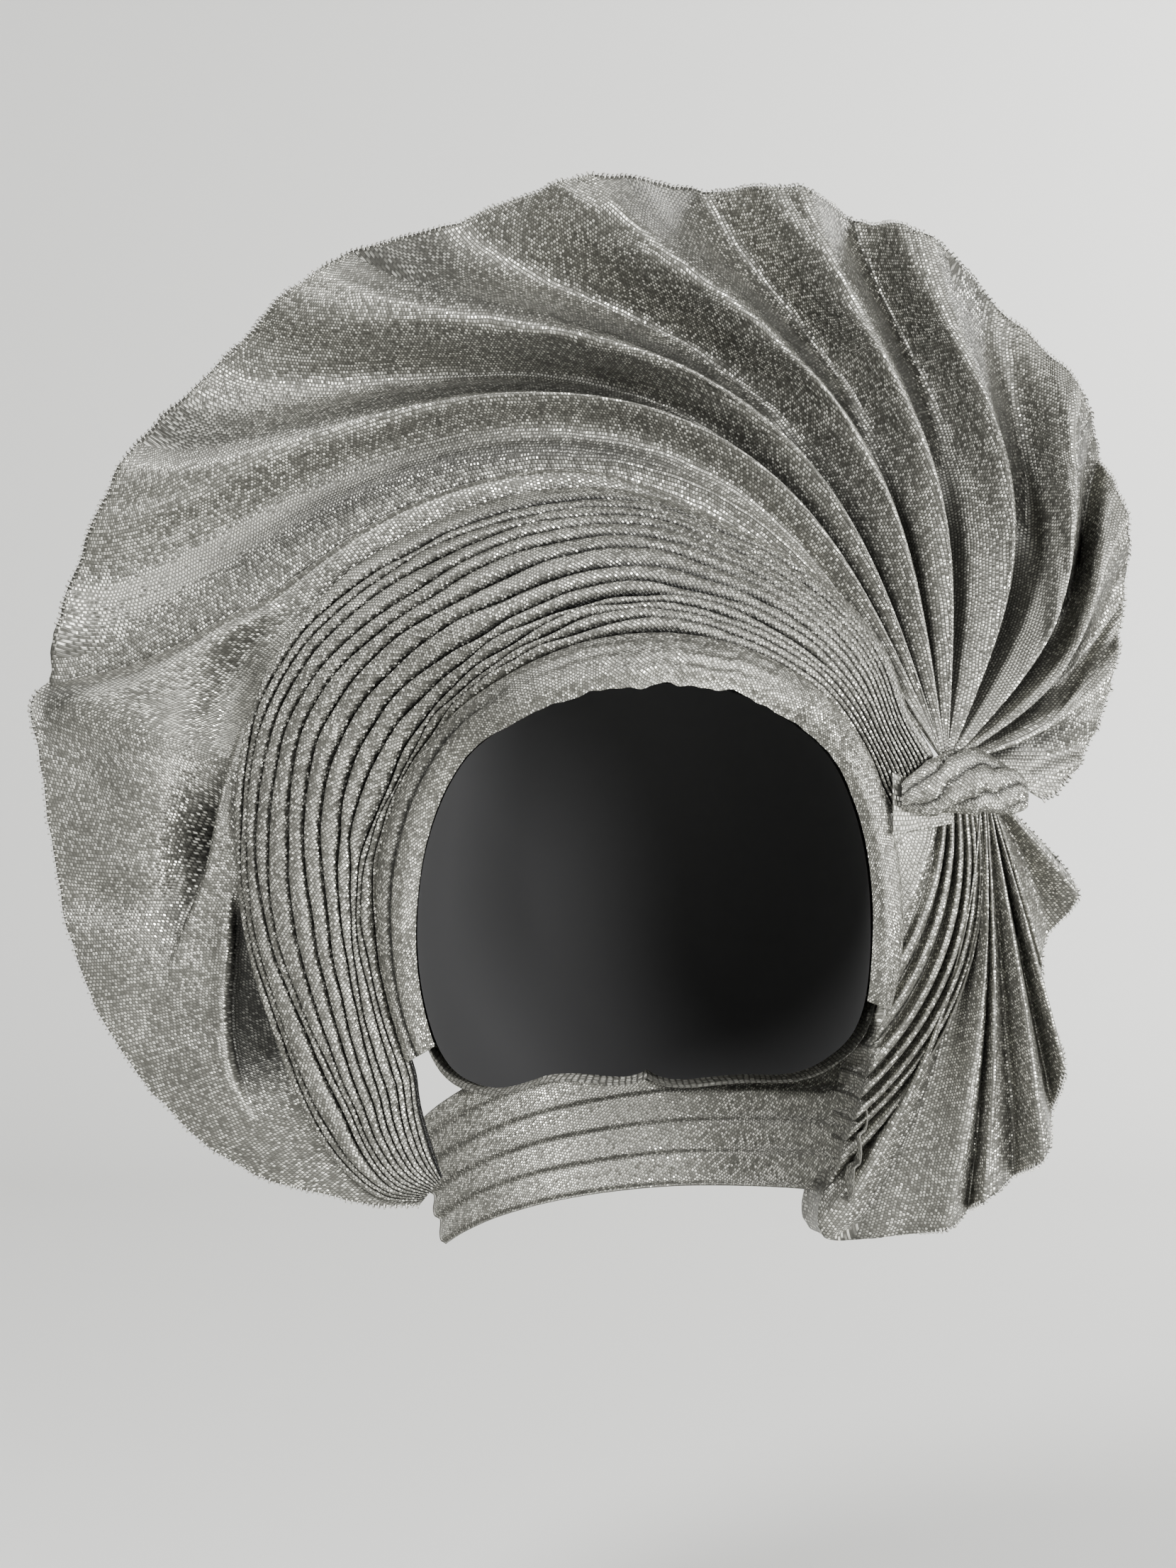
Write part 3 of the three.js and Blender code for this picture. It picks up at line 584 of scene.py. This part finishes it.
fanFolds = {
    "fold": [-1, 0, 1, 2, 3, 4, 5, 6, 7, 8, 9],
    "leave": [127, 121, 114, 109, 99, 89, 71, 50, 36, 20, -4],
    "arrive": [181, 174.5, 160.2, 141.4, 120.5, 103.5, 91.5, 69.7, 53.6, 25.4, -19],
    "reach": [268, 291, 283.2, 256.9, 220.6, 190.7, 170.2, 128.1, 99.2, 58.9, 33.5],
    "edgeY": [22, 22, 21, 18, 14, 10, 6, 0, -4, -10, -15],
    "height": [0, 0, 10, 16, 17, 17, 16, 12, 9, 4, 1],
}
fanCurve = {name: through(fanFolds["fold"], fanFolds[name]) for name in fanFolds}
fanRoot = (91.8, -24.6, 50.0)
fan = {"rows": 150, "start": 3.0, "lean": 0.17, "open": 0.4, "wrinkle": 0.8, "edgeWave": 1.6, "wall": 0.5}


def fanPoint(fold, along):
    angle = mix(fanCurve["leave"](fold), fanCurve["arrive"](fold), ease(along**1.4)) * degree
    reach = fanCurve["reach"](fold) + 0.7 * wobble(fold, 81, 0.27)
    far = mix(fan["start"], reach, along)
    y = mix(fanRoot[1], fanCurve["edgeY"](fold), (far / reach) ** 0.95)
    return np.stack([fanRoot[0] + far * np.cos(angle), y, fanRoot[2] + far * np.sin(angle)], -1)


fanShares = [0, 0.02, 0.045, 0.07, 0.095, 0.12, 0.14, 0.165, 0.195, 0.23, 0.27, 0.315, 0.36, 0.41, 0.46]
fanShares += [0.51, 0.56, 0.61, 0.66, 0.71, 0.76, 0.8, 0.84, 0.88, 0.91, 0.94, 0.97]
folds = [-1, -0.85, -0.7, -0.55, -0.4, -0.25, -0.12]
cuts = [0]
ridges = []
for k in range(9):
    ridges.append(len(folds) if k == 0 else len(folds) - 10)
    cuts.append(len(folds) + 6)
    folds += [k + s for s in fanShares]
ridges.append(len(folds) - 10)
folds += [9]
cuts.append(len(folds) - 1)
fold = np.array(folds, float)[None, :]
along = (np.linspace(0, 1, fan["rows"]) ** 1.12)[:, None]
whole = np.clip(np.floor(fold), 0, 8)
share = fold - whole
knifeLine = np.where(share < 0.14, 1 - 2 * ease(share / 0.14), -1 + 2 * ease((share - 0.14) / 0.86))
waveLine = np.cos(2 * math.pi * share)
sharp = 1 - ease((along - 0.3) / 0.5)
knife = mix(waveLine, knifeLine, sharp)
lean = fan["lean"] * sharp * np.where(share < 0.14, 1 - ease(share / 0.14), ease((share - 0.45) / 0.55))
lean = lean * (fold > 0.4) * (fold < 8.9)
gap = np.linalg.norm(fanPoint(whole + 1, along) - fanPoint(whole, along), axis=2)
calm = 1 - 0.22 * ease((along - 0.5) / 0.5)
tall = np.minimum(fanCurve["height"](fold) * calm, fan["open"] * np.maximum(gap - 2, 0.0))
fanPoints = fanPoint(np.minimum(fold + lean, 9), along)
fanPoints[..., 1] -= tall * knife
loose = ease((gap - 14) / 20) * ease((fold - 0.3) / 0.4)
fanPoints[..., 1] -= fan["wrinkle"] * loose * wrinkle(share * gap + 40 * whole, along * 220, 82, 17, 120)
edgeWave = ease((along - 0.78) / 0.22) * ease((fold - 0.2) / 0.5)
fanPoints[..., 1] -= fan["edgeWave"] * edgeWave * wobble(fold * 40, 83, 15)
# shade painted into the colour in each fold's valley, and where the outer folds lie over the pleat stack
narrow = 1 - ease((gap - 12) / 30)
softShade = 0.75 * ease((share - 0.03) / 0.12) * (1 - ease((share - 0.2) / 0.5))
softShade = softShade * (1 - 0.75 * ease((along - 0.6) / 0.36))
pressedShade = bell((share - 0.1) / 0.07) * mix(0.5, 0.95, narrow) * sharp
foldShade = np.maximum(pressedShade, softShade) * ease((fold - 0.9) / 0.2)
shadeOverStack = bell((fold - 0.2) / 0.3) * ease((along - 0.3) / 0.2) * (1 - ease((along - 0.72) / 0.2))
foldShade = np.maximum(foldShade, 0.7 * shadeOverStack)
fanWeave = foldWeave(fanPoints, cuts, ridges)
fanPiece = sheetObject("fanCloth", fanPoints, fanWeave, lurexOpen, fan["wall"], foldShade)
declareSheet(fanPiece, fanPoints, "fan")
fanSelvage = fanPoints[-1, np.searchsorted(fold[0], 0.3) :]
print("fan made")


# Knot: a twisted roll across the gathered folds

knot = {"stations": 120, "ring": 96, "lobes": 5, "twist": 8.0, "from": 77, "to": 117}
t = np.linspace(0, 1, knot["stations"])[:, None]
a = np.linspace(0, 2 * math.pi, knot["ring"])[None, :]
arch = np.sin(math.pi * np.clip(t, 0.004, 0.996))
size = 3.0 + 6.8 * arch**0.6
lobe = np.abs(np.cos(0.5 * knot["lobes"] * a + knot["twist"] * t + 0.4 * wobble(t, 91, 0.5)))
r = size * (0.78 + 0.3 * lobe**0.7 + 0.06 * wobble(t * 10, 92, 3.4))
# shade painted into the colour in the pinches between the roll's lobes
pinchShade = 1 - ease((lobe - 0.05) / 0.4)
back = np.minimum(0.62 * r * np.cos(a), 2.4)
knotX = mix(knot["from"], knot["to"], t) + 0 * a
knotY = mix(-28.8, -24.8, t) + back
knotZ = 40.5 + 4.5 * arch + 0.9 * wobble(t * 10, 94, 5) * arch + r * np.sin(a)
knotPoints = np.stack([knotX, knotY, knotZ], -1)
knotPiece = sheetObject("knotRoll", knotPoints, plainWeave(knotPoints), lurexBias, 0, 0.8 * pinchShade)
declareSheet(knotPiece, knotPoints, "knot")
print("knot made")


# Tie strip: pulled from under the face band to the knot

tieStrip = {"rows": 60, "columns": 40, "wall": 0.5}
t = np.linspace(0, 1, tieStrip["rows"])[:, None]
s = np.linspace(0, 1, tieStrip["columns"])[None, :]
top = mix(48, 40, t)
bottom = mix(28, 32, t)
fold = 0.45 * np.sin(2 * math.pi * s + 0.8 * t) * t + 0.25 * wobble(s * 10 + 3 * t, 95, 6)
stripPoints = np.stack(
    [mix(74.4, 94, t) + 0 * s, mix(-27, -23.6, t) - fold - 0.8 * np.sin(math.pi * s), mix(top, bottom, s)], -1
)
strip = sheetObject("tieStrip", stripPoints, plainWeave(stripPoints), lurexOpen, tieStrip["wall"])
declareSheet(strip, stripPoints, "tie_strip")
print("tie strip made")


# Side tail: pleats that sweep behind the cheek, then a flare with a scalloped selvage

tailFolds = {
    "fold": list(range(17)),
    "x": [73.5, 73.5, 72.5, 71, 70, 68.5, 67, 65, 62, 57, 96, 109, 127, 133, 126, 136.5, 114],
    "y": [-21, -16, -11, -5, 2, 8, 13, 18, 22, 28, 22, 18, 12, 8, 9, 0, -7],
    "z": [27, -4, -23, -36, -48, -56, -64, -71, -81, -106, -102, -92, -77, -47, -12, 10, 36.5],
    "height": [0, 0.6, 2, 2.6, 2.8, 2.8, 2.8, 2.8, 2.8, 3, 6, 5, 7, 6, 5, 3, 0],
    "bow": [0, 8, 14, 20, 27, 33, 38, 42, 42, 28, 14, 6, 2, 0, 0, 0, 0],
    "tuck": [0, 0, 4, 18, 30, 34, 34, 32, 28, 18, 0, 0, 0, 0, 0, 0, 0],
    "rootX": [88, 90, 92, 94, 96, 98, 99.5, 101, 102.5, 103.5, 104.5, 105, 105.5, 106, 106.5, 107, 107.5],
}
tailCurve = {name: through(tailFolds["fold"], tailFolds[name]) for name in tailFolds}
sideTail = {"rows": 130, "start": 0.0, "ripple": 2.4, "wall": 0.5}


def tailPoint(fold, along):
    fold, along = np.broadcast_arrays(fold, along)
    end = np.stack([tailCurve[axis](fold) for axis in ("x", "y", "z")], -1)
    bow = tailCurve["bow"](fold)
    tuck = np.maximum(tailCurve["tuck"](fold), 0)
    bend = 1 - tuck / 110
    t = np.minimum(along / bend, 1)[..., None]
    tailRoot = np.stack([tailCurve["rootX"](fold), 0 * bow - 16.5, 0 * bow + 41], -1)
    control = mix(tailRoot, end, 0.5) + np.stack([0.8 * bow, 0 * bow - 2, -0.2 * bow], -1)
    p = tailRoot * (1 - t) ** 2 + control * 2 * t * (1 - t) + end * t * t
    past = np.where(tuck > 0.01, np.maximum(along - bend, 0) / np.maximum(1 - bend, 1e-6), 0)
    p[..., 1] += tuck * past
    p[..., 0] -= 0.16 * tuck * past**2
    return p


tailShares = [0, 0.05, 0.1, 0.16, 0.22, 0.28, 0.34, 0.41, 0.48, 0.55, 0.62, 0.69, 0.76, 0.83, 0.9, 0.95]
folds = []
cuts = [0]
ridges = []
for k in range(16):
    ridges.append(len(folds))
    cuts.append(len(folds) + 6)
    folds += [k + s for s in tailShares]
ridges.append(len(folds))
folds += [16]
cuts.append(len(folds) - 1)
fold = np.array(folds, float)[None, :]
along = mix(sideTail["start"], 1, np.linspace(0, 1, sideTail["rows"]) ** 1.1)[:, None]
whole = np.clip(np.floor(fold), 0, 15)
share = fold - whole
gap = np.linalg.norm(tailPoint(whole + 1, along) - tailPoint(whole, along), axis=2)
pleated = 1 - ease((fold - 8.8) / 1.4)
knifeLine = np.where(share < 0.34, 1 - 2 * ease(share / 0.34), -1 + 2 * ease((share - 0.34) / 0.66))
shape = mix(np.cos(2 * math.pi * share), knifeLine, pleated)
tall = np.minimum(tailCurve["height"](fold), 0.42 * np.maximum(gap - 0.6, 0))
behind = ease((along - 0.7) / 0.3) * ease(tailCurve["tuck"](fold) / 20)
tall = tall * (1 - 0.85 * behind)
lean = -0.16 * pleated * ease((fold - 0.8) / 0.6) * bell((share - 1) / 0.3) * (share > 0.5)
tailPoints = tailPoint(np.clip(fold + lean, 0, 16), along)
tailPoints[..., 1] -= tall * shape * (1 - behind)
tailPoints[..., 0] += tall * shape * behind
flare = (1 - pleated) * ease((along - 0.4) / 0.6)
tailPoints[..., 1] -= sideTail["ripple"] * flare * wobble(fold * 20 + 6 * along, 97, 17)
# shade painted into the colour in each pleat's valley, and faintly across the flare
foldShade = 0.7 * bell((share - 0.34) / 0.08) * pleated * ease((fold - 1.2) / 0.4)
foldShade = foldShade + 0.2 * bell((share - 0.5) / 0.2) * flare
tailWeave = foldWeave(tailPoints, cuts, ridges)
tail = sheetObject("sideTail", tailPoints, tailWeave, lurexOpen, sideTail["wall"], foldShade)
declareSheet(tail, tailPoints, "side_tail")
tailSelvage = tailPoints[-1, np.searchsorted(fold[0], 9.2) :]
print("side tail made")


# Nape wrap: a pleated band round the nape

napeWrap = {"from": 8, "to": 170, "stations": 160, "pleats": 5, "height": 1.6, "wall": 0.5}
napeTurns = [26, 55, 90, 125, 165]
napeTop = through(napeTurns, [-38, -40, -44, -52, -66])
napeBottom = through(napeTurns, [-92, -94, -96, -100, -106])
napeOff = through(napeTurns, [9, 4, 0, 5, 12])
turn = np.linspace(napeWrap["from"], napeWrap["to"], napeWrap["stations"])[:, None]
s = np.linspace(0, 1, 91)[None, :]
z = mix(napeTop(turn), napeBottom(turn), s)
shownZ = np.maximum(z, -60 + 0.35 * (z + 60))
narrow = np.sqrt(1 - (shownZ / head["rise"]) ** 2)
ramp = (s * napeWrap["pleats"]) % 1
grow = napeOff(turn) + 2.0 + napeWrap["height"] * ease(ramp / 0.85) * (1 - ease((ramp - 0.86) / 0.14))
grow = grow + 0.3 * wrinkle(s * 50, turn * 1.6, 98, 14, 50)
c = np.cos(turn * degree)
side = np.where(c > 0, head["right"], head["left"])
napePoints = np.stack(
    [(side * narrow + grow) * c, (head["depth"] * narrow + grow) * np.sin(turn * degree), z + 0 * turn], -1
)
nape = sheetObject("napeWrap", napePoints, plainWeave(napePoints), lurexBias, napeWrap["wall"])
declareSheet(nape, napePoints, "nape_wrap")
print("nape wrap made")


# Selvage loops: small yarn loops that repeat along the woven edge

picots = {"pitch": 0.0019, "loop": 0.0008, "yarn": 0.00024, "seed": 3}


def picotTree():
    tree = bpy.data.node_groups.new("selvage loops", "GeometryNodeTree")
    face = tree.interface
    face.new_socket("Geometry", in_out="INPUT", socket_type="NodeSocketGeometry")
    face.new_socket("Pitch", in_out="INPUT", socket_type="NodeSocketFloat")
    face.new_socket("Loop radius", in_out="INPUT", socket_type="NodeSocketFloat")
    face.new_socket("Yarn radius", in_out="INPUT", socket_type="NodeSocketFloat")
    face.new_socket("Seed", in_out="INPUT", socket_type="NodeSocketInt")
    face.new_socket("Yarn", in_out="INPUT", socket_type="NodeSocketMaterial")
    face.new_socket("Geometry", in_out="OUTPUT", socket_type="NodeSocketGeometry")
    given = tree.nodes.new("NodeGroupInput").outputs
    line = addNode(tree, "GeometryNodeMeshToCurve", None, {0: given["Geometry"]})
    points = addNode(
        tree, "GeometryNodeCurveToPoints", {"mode": "LENGTH"},
        {"Curve": line.outputs[0], "Length": given["Pitch"]},
    )
    ring = addNode(
        tree, "GeometryNodeCurvePrimitiveCircle", None, {"Resolution": 8, "Radius": given["Loop radius"]}
    )
    yarn = addNode(
        tree, "GeometryNodeCurvePrimitiveCircle", None, {"Resolution": 5, "Radius": given["Yarn radius"]}
    )
    loop = addNode(
        tree, "GeometryNodeCurveToMesh", None, {"Curve": ring.outputs[0], "Profile Curve": yarn.outputs[0]}
    )
    size = addNode(
        tree, "FunctionNodeRandomValue", {"data_type": "FLOAT"}, {2: 0.75, 3: 1.25, "Seed": given["Seed"]}
    )
    placed = addNode(
        tree, "GeometryNodeInstanceOnPoints", None,
        {
            "Points": points.outputs["Points"], "Instance": loop.outputs[0],
            "Rotation": points.outputs["Rotation"], "Scale": size.outputs[1],
        },
    )
    real = addNode(tree, "GeometryNodeRealizeInstances", None, {0: placed.outputs[0]})
    done = addNode(
        tree, "GeometryNodeSetMaterial", None, {"Geometry": real.outputs[0], "Material": given["Yarn"]}
    )
    out = tree.nodes.new("NodeGroupOutput")
    tree.links.new(done.outputs[0], out.inputs[0])
    return tree


picotNodes = picotTree()


def addPicots(name, line, node):
    mesh = bpy.data.meshes.new(name)
    edgesOf = [(k, k + 1) for k in range(len(line) - 1)]
    mesh.from_pydata((line * 0.001).tolist(), edgesOf, [])
    source = bpy.data.objects.new(name + " path", mesh)
    bpy.context.scene.collection.objects.link(source)
    modifier = source.modifiers.new("loops", "NODES")
    modifier.node_group = picotNodes
    given = {"Pitch": "pitch", "Loop radius": "loop", "Yarn radius": "yarn", "Seed": "seed"}
    for item in picotNodes.interface.items_tree:
        if item.in_out == "INPUT" and item.name in given:
            modifier[item.identifier] = picots[given[item.name]]
        elif item.in_out == "INPUT" and item.name == "Yarn":
            modifier[item.identifier] = selvageYarn
    graph = bpy.context.evaluated_depsgraph_get()
    plain = bpy.data.meshes.new_from_object(source.evaluated_get(graph))
    bpy.data.objects.remove(source)
    plain.name = name
    plain.polygons.foreach_set("use_smooth", np.ones(len(plain.polygons), bool))
    piece = bpy.data.objects.new(name, plain)
    bpy.context.scene.collection.objects.link(piece)
    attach(piece, "root")
    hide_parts(node)
    print(name, len(plain.polygons), "faces")


addPicots("wingSelvage", wingSelvage, "front_pleats")
addPicots("fanSelvage", fanSelvage, "fan")
addPicots("tailSelvage", tailSelvage, "side_tail")


# Stage: a pale sweep, soft light from the upper left, and a camera straight in front

stage = {"floor": -0.3, "wall": 2.1, "bend": 0.6, "half": 30.0, "front": -40.0}
profile = [(stage["front"], stage["floor"])]
for a in np.linspace(-90, 0, 13) * degree:
    profile.append(
        (
            stage["wall"] - stage["bend"] + stage["bend"] * math.cos(a),
            stage["floor"] + stage["bend"] + stage["bend"] * math.sin(a),
        )
    )
profile.append((stage["wall"], 3.0))
sweepPoints = np.array([[[x, y, z] for y, z in profile] for x in (-stage["half"], stage["half"])]) * 1000
sweepPaint = plainMaterial("matt grey paper", "#CACAC7", 0.0, 0.9)
sweep = sheetObject("sweep", sweepPoints, plainWeave(sweepPoints), sweepPaint)


def areaLight(name, place, target, size, power):
    lamp = bpy.data.lights.new(name, "AREA")
    lamp.shape = "DISK"
    lamp.size = size
    lamp.energy = power
    holder = bpy.data.objects.new(name, lamp)
    bpy.context.scene.collection.objects.link(holder)
    holder.location = place
    away = np.array(place) - np.array(target)
    flat = math.hypot(away[0], away[1])
    holder.rotation_euler = (math.atan2(flat, away[2]), 0, math.atan2(away[1], away[0]) + math.pi / 2)


lamps = {
    "key": {"place": (-0.8, -1.0, 1.1), "target": (0, 0, 0.05), "size": 0.42, "power": 54},
    "fill": {"place": (1.0, -1.35, 0.15), "target": (0.05, 0, -0.03), "size": 0.6, "power": 52},
    "side": {"place": (1.2, -0.75, -0.05), "target": (0.1, 0, -0.02), "size": 0.4, "power": 34},
    "wall light, right": {"place": (1.5, 0.9, 1.2), "target": (0.7, 2.1, 0.1), "size": 0.8, "power": 76},
    "wall light, left": {"place": (-1.5, 0.9, 1.2), "target": (-0.5, 2.1, 0.2), "size": 0.8, "power": 6},
}
for name, lamp in lamps.items():
    areaLight(name, **lamp)
world = bpy.data.worlds.new("studio")
bpy.context.scene.world = world
world.use_nodes = True
sky = next(n for n in world.node_tree.nodes if n.type == "BACKGROUND")
sky.inputs["Color"].default_value = colour("#DCDDDE")
sky.inputs["Strength"].default_value = 0.24

lens = bpy.data.cameras.new("front camera")
lens.lens = 64.2
lens.sensor_width = 36
camera = bpy.data.objects.new("front camera", lens)
bpy.context.scene.collection.objects.link(camera)
camera.location = (-0.0206, -0.9, 0.0442)
camera.rotation_euler = (90 * degree, 0, 0)
bpy.context.scene.camera = camera
print("stage made")
